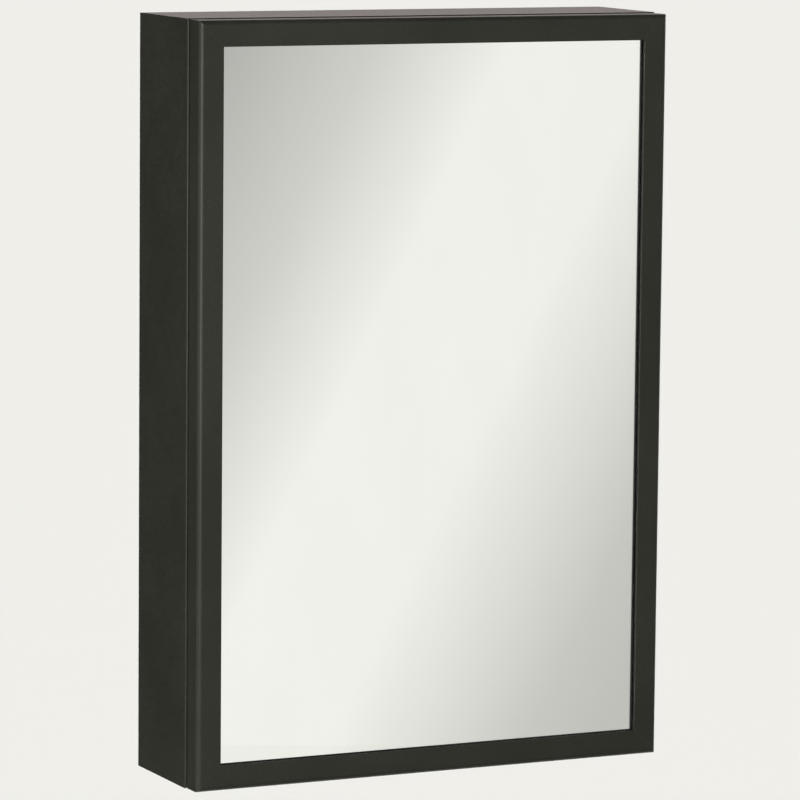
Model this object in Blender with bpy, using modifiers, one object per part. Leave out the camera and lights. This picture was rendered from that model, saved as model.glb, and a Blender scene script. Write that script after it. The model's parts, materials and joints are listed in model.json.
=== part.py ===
"""A wall-hung medicine cabinet: a shallow black metal case with one framed mirror door.

The door hangs on two butt hinges at the right side and turns left to right as it opens.

Frame: metres, +X right, +Y towards the wall, +Z up. The origin is the centre of the case's back face.
"""

import math

import bmesh
import bpy
from mathutils import Matrix, Vector

MM = 0.001
GAP = 0.3 * MM  # left between two pieces that rest on each other
MITRE_GAP = 0.2 * MM  # taken off each end of a mitred member, along its run

# Case: four C-section members with mitred corners
CASE_WIDTH = 412 * MM
CASE_HEIGHT = 610 * MM
CASE_DEPTH = 98 * MM
CASE_WALL = 1.5 * MM
CASE_EDGE_RADIUS = 0.8 * MM
FLANGE = 14 * MM  # the case's front return
LEDGE = 14 * MM  # the rear return that the back panel lies against
SHEET = 1.2 * MM  # back panel, ledge and shelf standards

# Door: four hollow mitred members round a sandwich of panes
DOOR_INSET = 0.7 * MM  # the door is this much smaller than the case on every side
DOOR_GAP = 2.5 * MM
DOOR_DEPTH = 20.5 * MM
FRAME_FACE = 20.4 * MM
FRAME_RADIUS = 4 * MM
FRAME_BOX = 11.5 * MM  # the hollow part of the section, outside the panes
FRAME_WALL = 1.6 * MM
FRONT_LIP = 1.6 * MM
LIP_RADIUS = 0.4 * MM
REAR_LIP = 1 * MM
REAR_LIP_REACH = 16 * MM
GASKET = 0.5 * MM
GASKET_PROUD = 0.3 * MM
MIRROR_GLASS = 3 * MM
INNER_MIRROR = 3 * MM
PANE_INSET = 12 * MM
GLASS_ARRIS = 0.5 * MM
KEY_ARM = 30 * MM
KEY_DEPTH = 12 * MM

# Hinges
HINGE_HEIGHT = 64 * MM
HINGE_FROM_CENTRE = 215 * MM
HINGE_AXIS_INSET = 0.7 * MM  # from the door's side to the pin
LEAF_WIDTH = 12 * MM
LEAF = 0.8 * MM
KNUCKLES = 5
KNUCKLE_RADIUS = 1.9 * MM
KNUCKLE_ROOM = 2.2 * MM  # radius of the space that the knuckles turn in
PIN_RADIUS = 1 * MM
PIN_BORE = 1.1 * MM
PIN_HEAD_RADIUS = 1.7 * MM
PIN_HEAD = 0.8 * MM
LEAF_SCREW_INSET = 7 * MM
LEAF_SCREW_SPREAD = 20 * MM

# Screws: (head radius, head depth, shank radius, length)
LEAF_SCREW = (2.3 * MM, 1.2 * MM, 1.4 * MM, 5 * MM)
STRIKE_SCREW = (1.9 * MM, 1.0 * MM, 1.1 * MM, 5 * MM)
CATCH_SCREW = (2.4 * MM, 1.2 * MM, 1.4 * MM, 6 * MM)

# Shelves, and the strips and pins that hold them
STANDARD_WIDTH = 12 * MM
STANDARD_DEPTH = 5 * MM
STANDARD_END = 8 * MM
STANDARD_ROWS = {"rear": -25 * MM, "front": -75 * MM}
PIN_HOLE_RADIUS = 2.5 * MM
PIN_HOLE_PITCH = 32 * MM
PIN_HOLES = 11
SHELF_HOLE = {"upper": 3, "lower": -3}  # which hole, counted from the middle one
SHELF_GLASS = 5 * MM
SHELF_FRONT = -92 * MM
SHELF_BACK = -8 * MM
PEG_RADIUS = 2.6 * MM
PEG_LENGTH = 8 * MM
PEG_COLLAR_RADIUS = 3.4 * MM
PEG_COLLAR = 1 * MM
PEG_TAIL_RADIUS = 2.2 * MM
PEG_TAIL = 4 * MM
PEG_TIP = 0.6 * MM  # chamfer at the peg's end

# Hanging rails
RAIL = 2 * MM
RAIL_HEIGHT = 30 * MM
RAIL_FROM_CENTRE = 268 * MM
RAIL_END_INSET = 2.1 * MM
WALL_SCREW_RADIUS = 3.25 * MM
WALL_SCREW_SPREAD = 150 * MM

# Magnetic catch, strike and bumpers
MAGNET = (8 * MM, 9.4 * MM, 36 * MM)
MAGNET_PROUD = 1.4 * MM  # in front of the case's flange
CATCH_X = -198.4 * MM
CATCH_WIDTH = 11.6 * MM
CATCH_DEPTH = 12 * MM
CATCH_BODY = 41 * MM
CATCH_EAR = 3 * MM
CATCH_HEIGHT = 62 * MM
CATCH_SCREW_SPREAD = 25.5 * MM
STRIKE = (10 * MM, 0.5 * MM, 56 * MM)
STRIKE_SCREW_SPREAD = 24 * MM
BUMPER_RADIUS = 4 * MM
BUMPER_FROM_CORNER = (7 * MM, 20 * MM)

THROUGH = 30 * MM  # length of a drill that goes right through a sheet
ROUND_STEPS = 16
HOLE_STEPS = 12
ARC_STEPS = 4
SHARP_ANGLE = math.radians(35)
WELD = 0.001 * MM
TURN_WELD = 0.01 * MM

CASE_FRONT = -CASE_DEPTH
DOOR_REAR = CASE_FRONT - DOOR_GAP
DOOR_FRONT = DOOR_REAR - DOOR_DEPTH
DOOR_WIDTH = CASE_WIDTH - 2 * DOOR_INSET
DOOR_HEIGHT = CASE_HEIGHT - 2 * DOOR_INSET
HINGE_X = DOOR_WIDTH / 2 - HINGE_AXIS_INSET
HINGE_Y = CASE_FRONT - DOOR_GAP / 2

TURNS = {"left": 0, "top": math.pi / 2, "right": math.pi, "bottom": 3 * math.pi / 2}
UP = Vector((0, 0, 1))
TO_ROOM = Vector((0, -1, 0))
TO_WALL = Vector((0, 1, 0))

# name: (sRGB colour, roughness, metallic)
FINISHES = {
    "black_coat": ((0.16, 0.16, 0.15), 0.45, 0.0),
    "mirror": ((0.92, 0.92, 0.91), 0.02, 1.0),
    "shelf_glass": ((0.80, 0.90, 0.87), 0.03, 0.0),
    "black_rubber": ((0.07, 0.07, 0.07), 0.75, 0.0),
    "core_board": ((0.55, 0.43, 0.30), 0.85, 0.0),
    "aluminium": ((0.78, 0.78, 0.79), 0.40, 1.0),
    "zinc_steel": ((0.72, 0.73, 0.74), 0.35, 1.0),
    "black_plastic": ((0.09, 0.09, 0.10), 0.50, 0.0),
    "magnet": ((0.22, 0.22, 0.23), 0.55, 0.6),
}


def clear_scene():
    for obj in list(bpy.data.objects):
        bpy.data.objects.remove(obj, do_unlink=True)


def new_collection(name):
    collection = bpy.data.collections.new(name)
    bpy.context.scene.collection.children.link(collection)
    return collection


def linear(channel):
    if channel <= 0.04045:
        return channel / 12.92
    return ((channel + 0.055) / 1.055) ** 2.4


def new_material(name):
    colour, roughness, metallic = FINISHES[name]
    material = bpy.data.materials.new(name)
    material.use_nodes = True
    shader = material.node_tree.nodes["Principled BSDF"]
    shader.inputs["Base Color"].default_value = (*map(linear, colour), 1)
    shader.inputs["Roughness"].default_value = roughness
    shader.inputs["Metallic"].default_value = metallic
    return material


clear_scene()
PARTS = new_collection("medicine_cabinet")
CUTTERS = new_collection("cutters")
MATERIALS = {name: new_material(name) for name in FINISHES}


# ---- shape helpers -------------------------------------------------------------------------------------


def add(name, mesh, finish, location=(0, 0, 0), axis=UP):
    """A part from a mesh about its own origin, its local Z laid along the axis."""
    mesh.name = name
    obj = bpy.data.objects.new(name, mesh)
    obj.location = location
    obj.rotation_euler = UP.rotation_difference(axis).to_euler()
    mesh.materials.append(MATERIALS[finish])
    PARTS.objects.link(obj)
    return obj


def add_cutter(name, mesh, location=(0, 0, 0), axis=UP):
    obj = bpy.data.objects.new(name, mesh)
    obj.location = location
    obj.rotation_euler = UP.rotation_difference(axis).to_euler()
    obj.hide_render = True
    obj.display_type = "WIRE"
    CUTTERS.objects.link(obj)
    return obj


def combine(obj, tool, operation="DIFFERENCE"):
    modifier = obj.modifiers.new(tool.name, "BOOLEAN")
    modifier.operation = operation
    modifier.solver = "EXACT"
    modifier.object = tool


def box_mesh(size):
    mesh = bpy.data.meshes.new("box")
    shape = bmesh.new()
    bmesh.ops.create_cube(shape, size=1, matrix=Matrix.Diagonal((*size, 1)))
    shape.to_mesh(mesh)
    shape.free()
    return mesh


def cylinder_mesh(radius, length, steps=ROUND_STEPS):
    mesh = bpy.data.meshes.new("cylinder")
    shape = bmesh.new()
    bmesh.ops.create_cone(
        shape, cap_ends=True, segments=steps, radius1=radius, radius2=radius, depth=length
    )
    shape.to_mesh(mesh)
    shape.free()
    smooth(mesh)
    return mesh


def smooth(mesh):
    mesh.shade_smooth()
    mesh.set_sharp_from_angle(angle=SHARP_ANGLE)


def evaluated_mesh(source):
    """The closed mesh that a curve or a modified object makes. The source is removed."""
    bpy.context.scene.collection.objects.link(source)
    graph = bpy.context.evaluated_depsgraph_get()
    mesh = bpy.data.meshes.new_from_object(source.evaluated_get(graph))
    bpy.data.objects.remove(source)
    shape = bmesh.new()
    shape.from_mesh(mesh)
    bmesh.ops.remove_doubles(shape, verts=shape.verts, dist=WELD)
    bmesh.ops.recalc_face_normals(shape, faces=shape.faces)
    shape.to_mesh(mesh)
    shape.free()
    mesh.materials.clear()
    smooth(mesh)
    return mesh


def extruded_mesh(outlines, thickness):
    """Flat outlines in local XY, the inner ones being holes, made this thick along local Z."""
    curve = bpy.data.curves.new("outline", "CURVE")
    curve.dimensions = "2D"
    curve.fill_mode = "BOTH"
    curve.extrude = thickness / 2
    for outline in outlines:
        spline = curve.splines.new("POLY")
        spline.points.add(len(outline) - 1)
        for point, (x, y) in zip(spline.points, outline):
            point.co = (x, y, 0, 1)
        spline.use_cyclic_u = True
    return evaluated_mesh(bpy.data.objects.new("outline", curve))


def turned_mesh(profile):
    """A round piece about local Z: (radius, height) points down its outer side, from top to bottom."""
    mesh = bpy.data.meshes.new("profile")
    points = [(radius, 0, height) for radius, height in profile]
    mesh.from_pydata(points, [(i, i + 1) for i in range(len(points) - 1)], [])
    source = bpy.data.objects.new("profile", mesh)
    screw = source.modifiers.new("turn", "SCREW")
    screw.steps = ROUND_STEPS
    screw.render_steps = ROUND_STEPS
    screw.use_merge_vertices = True
    screw.merge_threshold = TURN_WELD
    return evaluated_mesh(source)


def rounded(corners):
    """An outline through (x, y, radius) corners, with an arc at each corner that has a radius."""
    points = []
    for index, (x, y, radius) in enumerate(corners):
        here = Vector((x, y))
        if not radius:
            points.append(here)
            continue
        before = (Vector(corners[index - 1][:2]) - here).normalized()
        after = (Vector(corners[(index + 1) % len(corners)][:2]) - here).normalized()
        half = before.angle(after) / 2
        centre = here + (before + after).normalized() * radius / math.sin(half)
        start = here + before * radius / math.tan(half) - centre
        sweep = start.angle_signed(here + after * radius / math.tan(half) - centre)
        for step in range(ARC_STEPS + 1):
            turn = Matrix.Rotation(-sweep * step / ARC_STEPS, 2)
            points.append(centre + turn @ start)
    return points


def rectangle(half_width, half_height):
    return [
        (-half_width, -half_height),
        (half_width, -half_height),
        (half_width, half_height),
        (-half_width, half_height),
    ]


def box(name, low, high, finish):
    low, high = Vector(low), Vector(high)
    return add(name, box_mesh(high - low), finish, (low + high) / 2)


def bevel(obj, width):
    modifier = obj.modifiers.new("arris", "BEVEL")
    modifier.width = width
    modifier.segments = 1


def mitred_member(name, side, outlines, width, height, finish):
    """One side of a mitred frame. Outlines run in (inset from the outer face, depth along Y)."""
    upright = side in ("left", "right")
    run, across = (height, width) if upright else (width, height)
    mesh = extruded_mesh(outlines, run)
    for vertex in mesh.vertices:
        vertex.co.z -= math.copysign(vertex.co.x + MITRE_GAP, vertex.co.z)
    obj = add(name, mesh, finish)
    obj.rotation_euler = (0, TURNS[side], 0)
    obj.location = Matrix.Rotation(TURNS[side], 3, "Y") @ Vector((-across / 2, 0, 0))
    return obj


def countersunk_mesh(screw):
    """A countersunk screw, its head's face at the origin and its point down local Z."""
    head, head_depth, shank, length = screw
    rim = head_depth / 4
    tip = shank / 4
    return turned_mesh([
        (0, 0),
        (head, 0),
        (head, -rim),
        (shank, -head_depth),
        (shank, -length + shank),
        (tip, -length),
        (0, -length),
    ])


def panhead_mesh(screw):
    """A pan-head screw, the underside of its head at the origin and its point down local Z."""
    head, head_height, shank, length = screw
    crown = 0.7 * head
    shoulder = 0.4 * head_height
    return turned_mesh([
        (0, head_height),
        (crown, head_height),
        (head, shoulder),
        (head, 0),
        (shank, 0),
        (shank, -length),
        (0, -length),
    ])


# ---- case ----------------------------------------------------------------------------------------------


def case_section():
    rear_face = -SHEET - GAP
    return rounded([
        (0, 0, 0),
        (0, CASE_FRONT, CASE_EDGE_RADIUS),
        (FLANGE, CASE_FRONT, 0),
        (FLANGE, CASE_FRONT + CASE_WALL, 0),
        (CASE_WALL, CASE_FRONT + CASE_WALL, 0),
        (CASE_WALL, rear_face - SHEET, 0),
        (LEDGE, rear_face - SHEET, 0),
        (LEDGE, rear_face, 0),
        (CASE_WALL, rear_face, 0),
        (CASE_WALL, 0, 0),
    ])


def make_case():
    members = {}
    for side in TURNS:
        name = f"case_{side}_side" if side in ("left", "right") else f"case_{side}"
        section = [case_section()]
        members[side] = mitred_member(name, side, section, CASE_WIDTH, CASE_HEIGHT, "black_coat")
    panel_edge = CASE_WALL + GAP
    panel = box(
        "back_panel",
        (panel_edge - CASE_WIDTH / 2, -SHEET, panel_edge - CASE_HEIGHT / 2),
        (CASE_WIDTH / 2 - panel_edge, 0, CASE_HEIGHT / 2 - panel_edge),
        "black_coat",
    )
    rail_back = -2 * SHEET - 2 * GAP
    for name, height in (("upper", RAIL_FROM_CENTRE), ("lower", -RAIL_FROM_CENTRE)):
        half = CASE_WIDTH / 2 - RAIL_END_INSET
        rail = box(
            f"hanging_rail_{name}",
            (-half, rail_back - RAIL, height - RAIL_HEIGHT / 2),
            (half, rail_back, height + RAIL_HEIGHT / 2),
            "black_coat",
        )
        for hand, x in (("left", -WALL_SCREW_SPREAD), ("right", WALL_SCREW_SPREAD)):
            drill = add_cutter(
                f"wall_screw_{name}_{hand}",
                cylinder_mesh(WALL_SCREW_RADIUS, THROUGH),
                (x, rail_back, height),
                TO_WALL,
            )
            combine(rail, drill)
            combine(panel, drill)
    return members


# ---- shelves -------------------------------------------------------------------------------------------


def standard_section():
    """A channel, open towards the case's side."""
    half = STANDARD_WIDTH / 2
    foot = CASE_WALL + GAP
    face = foot + STANDARD_DEPTH
    return rounded([
        (foot, -half, 0),
        (face, -half, CASE_EDGE_RADIUS),
        (face, half, CASE_EDGE_RADIUS),
        (foot, half, 0),
        (foot, half - SHEET, 0),
        (face - SHEET, half - SHEET, 0),
        (face - SHEET, SHEET - half, 0),
        (foot, SHEET - half, 0),
    ])


def make_standard(name, side, depth):
    mesh = extruded_mesh([standard_section()], CASE_HEIGHT - 2 * STANDARD_END)
    standard = add(name, mesh, "black_coat")
    standard.rotation_euler = (0, TURNS[side], 0)
    out = -1 if side == "left" else 1
    standard.location = (out * CASE_WIDTH / 2, depth, 0)
    face = CASE_WIDTH / 2 - CASE_WALL - GAP - STANDARD_DEPTH
    for number in range(PIN_HOLES):
        height = (number - PIN_HOLES // 2) * PIN_HOLE_PITCH
        drill = add_cutter(
            f"{name}_hole_{number}",
            cylinder_mesh(PIN_HOLE_RADIUS, 3 * SHEET, HOLE_STEPS),
            (out * (face + SHEET / 2), depth, height),
            Vector((1, 0, 0)),
        )
        combine(standard, drill)


def peg_mesh():
    """A shelf pin about local Z: the peg upwards, the collar above the origin, the tail below it."""
    top = PEG_COLLAR + PEG_LENGTH
    return turned_mesh([
        (0, top),
        (PEG_RADIUS - PEG_TIP, top),
        (PEG_RADIUS, top - PEG_TIP),
        (PEG_RADIUS, PEG_COLLAR),
        (PEG_COLLAR_RADIUS, PEG_COLLAR),
        (PEG_COLLAR_RADIUS, 0),
        (PEG_TAIL_RADIUS, 0),
        (PEG_TAIL_RADIUS, -PEG_TAIL),
        (0, -PEG_TAIL),
    ])


def make_shelves():
    face = CASE_WIDTH / 2 - CASE_WALL - GAP - STANDARD_DEPTH
    for side, out in (("left", -1), ("right", 1)):
        for row, depth in STANDARD_ROWS.items():
            make_standard(f"shelf_standard_{side}_{row}", side, depth)
            for level, hole in SHELF_HOLE.items():
                add(
                    f"shelf_pin_{level}_{side}_{row}",
                    peg_mesh(),
                    "zinc_steel",
                    (out * (face - GAP), depth, hole * PIN_HOLE_PITCH),
                    Vector((-out, 0, 0)),
                )
    half = face - 2 * GAP - PEG_COLLAR - GAP
    for level, hole in SHELF_HOLE.items():
        underside = hole * PIN_HOLE_PITCH + PEG_RADIUS + GAP
        shelf = box(
            f"shelf_{level}",
            (-half, SHELF_FRONT, underside),
            (half, SHELF_BACK, underside + SHELF_GLASS),
            "shelf_glass",
        )
        bevel(shelf, GLASS_ARRIS)


# ---- door ----------------------------------------------------------------------------------------------


def door_section():
    """The frame member's outline, and the hollow inside it that the corner keys fit."""
    lip_back = DOOR_FRONT + FRONT_LIP
    outline = rounded([
        (0, DOOR_REAR, CASE_EDGE_RADIUS),
        (0, DOOR_FRONT, FRAME_RADIUS),
        (FRAME_FACE, DOOR_FRONT, LIP_RADIUS),
        (FRAME_FACE, lip_back, 0),
        (FRAME_BOX, lip_back, 0),
        (FRAME_BOX, DOOR_REAR - REAR_LIP, 0),
        (REAR_LIP_REACH, DOOR_REAR - REAR_LIP, 0),
        (REAR_LIP_REACH, DOOR_REAR, 0),
    ])
    near = DOOR_FRONT + FRAME_WALL
    far = DOOR_REAR - FRAME_WALL
    inner = FRAME_BOX - FRAME_WALL
    chamfer = FRAME_RADIUS - FRAME_WALL
    hollow = [
        (FRAME_WALL, far),
        (FRAME_WALL, near + chamfer),
        (FRAME_WALL + chamfer, near),
        (inner, near),
        (inner, far),
    ]
    return [outline, hollow]


def make_door_frame():
    members = {}
    for side in TURNS:
        name = f"door_frame_{side}"
        members[side] = mitred_member(name, side, door_section(), DOOR_WIDTH, DOOR_HEIGHT, "black_coat")
    return members


def make_corner_keys():
    """L-shaped keys that join the hollow members inside the mitres."""
    near = FRAME_WALL + GAP
    far = FRAME_BOX - FRAME_WALL - GAP
    arm = KEY_ARM
    outline = [(near, near), (arm, near), (arm, far), (far, far), (far, arm), (near, arm)]
    depth = (DOOR_FRONT + DOOR_REAR) / 2
    corners = {
        "lower_left": (1, 1),
        "lower_right": (-1, 1),
        "upper_right": (-1, -1),
        "upper_left": (1, -1),
    }
    for name, (x_way, z_way) in corners.items():
        placed = [(x_way * (x - DOOR_WIDTH / 2), z_way * (z - DOOR_HEIGHT / 2)) for x, z in outline]
        mesh = extruded_mesh([placed], KEY_DEPTH)
        key = add(f"corner_key_{name}", mesh, "aluminium", (0, depth, 0))
        key.rotation_euler = (math.pi / 2, 0, 0)
        yield key


def pane(name, front, thickness, finish):
    half_width = DOOR_WIDTH / 2 - PANE_INSET
    half_height = DOOR_HEIGHT / 2 - PANE_INSET
    return box(
        name,
        (-half_width, front, -half_height),
        (half_width, front + thickness, half_height),
        finish,
    )


def make_panes():
    gasket_front = DOOR_FRONT + FRONT_LIP + GAP
    mirror_front = gasket_front + GASKET + GAP
    core_front = mirror_front + MIRROR_GLASS + GAP
    inner_front = DOOR_REAR - REAR_LIP - GAP - INNER_MIRROR

    outer = rectangle(DOOR_WIDTH / 2 - PANE_INSET, DOOR_HEIGHT / 2 - PANE_INSET)
    reach = FRAME_FACE + GASKET_PROUD
    window = rectangle(DOOR_WIDTH / 2 - reach, DOOR_HEIGHT / 2 - reach)
    gasket = add(
        "mirror_gasket",
        extruded_mesh([outer, window], GASKET),
        "black_rubber",
        (0, gasket_front + GASKET / 2, 0),
        TO_ROOM,
    )
    mirror = pane("mirror_glass", mirror_front, MIRROR_GLASS, "mirror")
    bevel(mirror, GLASS_ARRIS)
    core = pane("door_core_board", core_front, inner_front - GAP - core_front, "core_board")
    inner = pane("door_inner_mirror", inner_front, INNER_MIRROR, "mirror")
    bevel(inner, GLASS_ARRIS)
    return [gasket, mirror, core, inner]


# ---- hinges --------------------------------------------------------------------------------------------


def knuckle_span(number):
    """The height of a knuckle's middle above the hinge's middle, and its length."""
    pitch = HINGE_HEIGHT / KNUCKLES
    return (number - (KNUCKLES - 1) / 2) * pitch, pitch - GAP


def make_leaf(name, centre, own, others, face):
    """A leaf with its knuckles. face is the way from the pin to the member it is screwed to: +1 the wall."""
    middle = GAP / 2 + LEAF / 2
    leaf = box(
        name,
        (HINGE_X - LEAF_WIDTH, HINGE_Y + face * middle - LEAF / 2, centre - HINGE_HEIGHT / 2 + GAP / 2),
        (HINGE_X, HINGE_Y + face * middle + LEAF / 2, centre + HINGE_HEIGHT / 2 - GAP / 2),
        "zinc_steel",
    )
    for number in others:
        height, length = knuckle_span(number)
        room = add_cutter(
            f"{name}_room_{number}",
            cylinder_mesh(KNUCKLE_ROOM, length + 2 * GAP),
            (HINGE_X, HINGE_Y, centre + height),
        )
        combine(leaf, room)
    for number in own:
        height, length = knuckle_span(number)
        knuckle = add_cutter(
            f"{name}_knuckle_{number}",
            cylinder_mesh(KNUCKLE_RADIUS, length),
            (HINGE_X, HINGE_Y, centre + height),
        )
        combine(leaf, knuckle, "UNION")
    bore_mesh = cylinder_mesh(PIN_BORE, 2 * HINGE_HEIGHT)
    bore = add_cutter(f"{name}_bore", bore_mesh, (HINGE_X, HINGE_Y, centre))
    combine(leaf, bore)
    return leaf


def make_hinge(name, centre, case_member, door_member):
    """One butt hinge. Returns the pieces that turn with the door."""
    odd = range(1, KNUCKLES, 2)
    even = range(0, KNUCKLES, 2)
    case_leaf = make_leaf(f"{name}_case_leaf", centre, even, odd, 1)
    door_leaf = make_leaf(f"{name}_door_leaf", centre, odd, even, -1)

    half = HINGE_HEIGHT / 2 + GAP
    pin_profile = [
        (0, half + PIN_HEAD),
        (PIN_HEAD_RADIUS, half + PIN_HEAD),
        (PIN_HEAD_RADIUS, half),
        (PIN_RADIUS, half),
        (PIN_RADIUS, -half),
        (PIN_HEAD_RADIUS, -half),
        (PIN_HEAD_RADIUS, -half - PIN_HEAD),
        (0, -half - PIN_HEAD),
    ]
    add(f"{name}_pin", turned_mesh(pin_profile), "zinc_steel", (HINGE_X, HINGE_Y, centre))

    groove = add_cutter(
        f"{name}_groove",
        cylinder_mesh(KNUCKLE_ROOM, HINGE_HEIGHT + 2 * PIN_HEAD + 4 * GAP),
        (HINGE_X, HINGE_Y, centre),
    )
    combine(case_member, groove)
    combine(door_member, groove)

    turning = [door_leaf]
    head, _, shank, length = LEAF_SCREW
    leaves = (("case", case_leaf, case_member, TO_ROOM), ("door", door_leaf, door_member, TO_WALL))
    for label, leaf, member, outward in leaves:
        face = HINGE_Y - outward.y * GAP / 2
        for place, offset in (("upper", LEAF_SCREW_SPREAD), ("lower", -LEAF_SCREW_SPREAD)):
            at = Vector((HINGE_X - LEAF_SCREW_INSET, face, centre + offset))
            screw_name = f"{name}_{label}_screw_{place}"
            screw = add(screw_name, countersunk_mesh(LEAF_SCREW), "zinc_steel", at, outward)
            sink_mesh = cylinder_mesh(head + GAP, 2 * LEAF + GAP)
            combine(leaf, add_cutter(f"{screw_name}_sink", sink_mesh, at, outward))
            hole_mesh = cylinder_mesh(shank + 2 * GAP, length)
            hole_middle = at - outward * length / 2
            combine(member, add_cutter(f"{screw_name}_hole", hole_mesh, hole_middle, outward))
            if label == "door":
                turning.append(screw)
    return turning


# ---- catch, strike and bumpers -------------------------------------------------------------------------


def make_catch(case_member):
    width, depth, height = MAGNET
    magnet_front = CASE_FRONT - MAGNET_PROUD
    box(
        "catch_magnet",
        (CATCH_X - width / 2, magnet_front, -height / 2),
        (CATCH_X + width / 2, magnet_front + depth, height / 2),
        "magnet",
    )
    front = CASE_FRONT + CASE_WALL + GAP
    profile = [
        (front, -CATCH_HEIGHT / 2),
        (front + CATCH_EAR, -CATCH_HEIGHT / 2),
        (front + CATCH_EAR, -CATCH_BODY / 2),
        (front + CATCH_DEPTH, -CATCH_BODY / 2),
        (front + CATCH_DEPTH, CATCH_BODY / 2),
        (front + CATCH_EAR, CATCH_BODY / 2),
        (front + CATCH_EAR, CATCH_HEIGHT / 2),
        (front, CATCH_HEIGHT / 2),
    ]
    housing = add("catch_housing", extruded_mesh([profile], CATCH_WIDTH), "black_plastic", (CATCH_X, 0, 0))
    housing.rotation_euler = (math.pi / 2, 0, math.pi / 2)
    pocket = add_cutter(
        "magnet_pocket",
        box_mesh((width + 2 * GAP, 2 * depth, height + 2 * GAP)),
        (CATCH_X, magnet_front + GAP, 0),
    )
    combine(housing, pocket)
    combine(case_member, pocket)

    _, _, shank, _ = CATCH_SCREW
    for place, offset in (("upper", CATCH_SCREW_SPREAD), ("lower", -CATCH_SCREW_SPREAD)):
        at = Vector((CATCH_X, front + CATCH_EAR + GAP, offset))
        add(f"catch_screw_{place}", panhead_mesh(CATCH_SCREW), "zinc_steel", at, TO_WALL)
        hole = add_cutter(f"catch_hole_{place}", cylinder_mesh(shank + GAP, THROUGH), at, TO_WALL)
        combine(housing, hole)
        combine(case_member, hole)


def make_strike(door_member):
    width, thickness, height = STRIKE
    rear = DOOR_REAR + GAP
    strike = box(
        "strike_plate",
        (CATCH_X - width / 2, rear, -height / 2),
        (CATCH_X + width / 2, rear + thickness, height / 2),
        "zinc_steel",
    )
    head, _, shank, length = STRIKE_SCREW
    pieces = [strike]
    for place, offset in (("upper", STRIKE_SCREW_SPREAD), ("lower", -STRIKE_SCREW_SPREAD)):
        at = Vector((CATCH_X, rear + thickness, offset))
        screw_mesh = countersunk_mesh(STRIKE_SCREW)
        pieces.append(add(f"strike_screw_{place}", screw_mesh, "zinc_steel", at, TO_WALL))
        sink_mesh = cylinder_mesh(head + GAP, 4 * thickness)
        combine(strike, add_cutter(f"strike_sink_{place}", sink_mesh, at, TO_WALL))
        hole_mesh = cylinder_mesh(shank + 2 * GAP, length)
        hole_middle = at - TO_WALL * length / 2
        combine(door_member, add_cutter(f"strike_hole_{place}", hole_mesh, hole_middle, TO_WALL))
    return pieces


def make_bumpers():
    inset, drop = BUMPER_FROM_CORNER
    length = DOOR_GAP - 2 * GAP
    for place, way in (("upper", 1), ("lower", -1)):
        at = (inset - CASE_WIDTH / 2, CASE_FRONT - DOOR_GAP / 2, way * (CASE_HEIGHT / 2 - drop))
        add(f"door_bumper_{place}", cylinder_mesh(BUMPER_RADIUS, length), "black_rubber", at, TO_ROOM)


# ---- assembly ------------------------------------------------------------------------------------------


def hang_door(pieces):
    """Parents the door's pieces to an empty on the hinge pins' axis."""
    pivot = bpy.data.objects.new("door_pivot", None)
    pivot.location = (HINGE_X, HINGE_Y, 0)
    PARTS.objects.link(pivot)
    for piece in pieces:
        piece.parent = pivot
        piece.matrix_parent_inverse = Matrix.Translation(-pivot.location)


def main():
    case = make_case()
    make_shelves()
    frame = make_door_frame()
    door = [*frame.values(), *make_corner_keys(), *make_panes()]
    for name, centre in (("upper_hinge", HINGE_FROM_CENTRE), ("lower_hinge", -HINGE_FROM_CENTRE)):
        door += make_hinge(name, centre, case["right"], frame["right"])
    make_catch(case["left"])
    door += make_strike(frame["left"])
    make_bumpers()
    hang_door(door)


main()
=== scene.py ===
"""The looks of a wall-hung medicine cabinet with a framed mirror door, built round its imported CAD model.

Frame: metres, +X right, +Y towards the wall, +Z up. The origin is the centre of the case's back face.
"""

import json
import math

import bmesh
import bpy
from mathutils import Matrix, Vector

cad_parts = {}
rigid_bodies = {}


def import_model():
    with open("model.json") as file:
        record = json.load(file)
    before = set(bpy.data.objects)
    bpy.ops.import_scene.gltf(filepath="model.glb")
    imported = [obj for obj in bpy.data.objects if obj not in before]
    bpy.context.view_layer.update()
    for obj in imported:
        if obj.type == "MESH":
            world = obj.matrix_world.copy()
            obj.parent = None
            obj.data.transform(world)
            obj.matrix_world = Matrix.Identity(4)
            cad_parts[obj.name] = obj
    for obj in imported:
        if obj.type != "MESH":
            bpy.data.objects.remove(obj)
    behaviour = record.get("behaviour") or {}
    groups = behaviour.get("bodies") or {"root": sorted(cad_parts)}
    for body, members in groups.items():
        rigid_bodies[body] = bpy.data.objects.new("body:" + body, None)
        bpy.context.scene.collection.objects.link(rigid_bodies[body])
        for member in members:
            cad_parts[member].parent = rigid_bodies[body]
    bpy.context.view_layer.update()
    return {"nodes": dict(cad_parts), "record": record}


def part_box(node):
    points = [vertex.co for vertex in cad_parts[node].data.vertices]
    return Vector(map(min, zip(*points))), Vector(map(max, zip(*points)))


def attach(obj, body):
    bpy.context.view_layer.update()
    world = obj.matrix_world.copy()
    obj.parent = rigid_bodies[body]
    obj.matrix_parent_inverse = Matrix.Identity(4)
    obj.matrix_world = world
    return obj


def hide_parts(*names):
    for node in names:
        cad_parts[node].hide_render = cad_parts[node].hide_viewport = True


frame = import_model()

MM = 0.001
UP = Vector((0, 0, 1))
TO_ROOM = Vector((0, -1, 0))
TO_WALL = Vector((0, 1, 0))
TO_RIGHT = Vector((1, 0, 0))
TURNS = {"left": 0, "top": math.pi / 2, "right": math.pi, "bottom": 3 * math.pi / 2}

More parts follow.
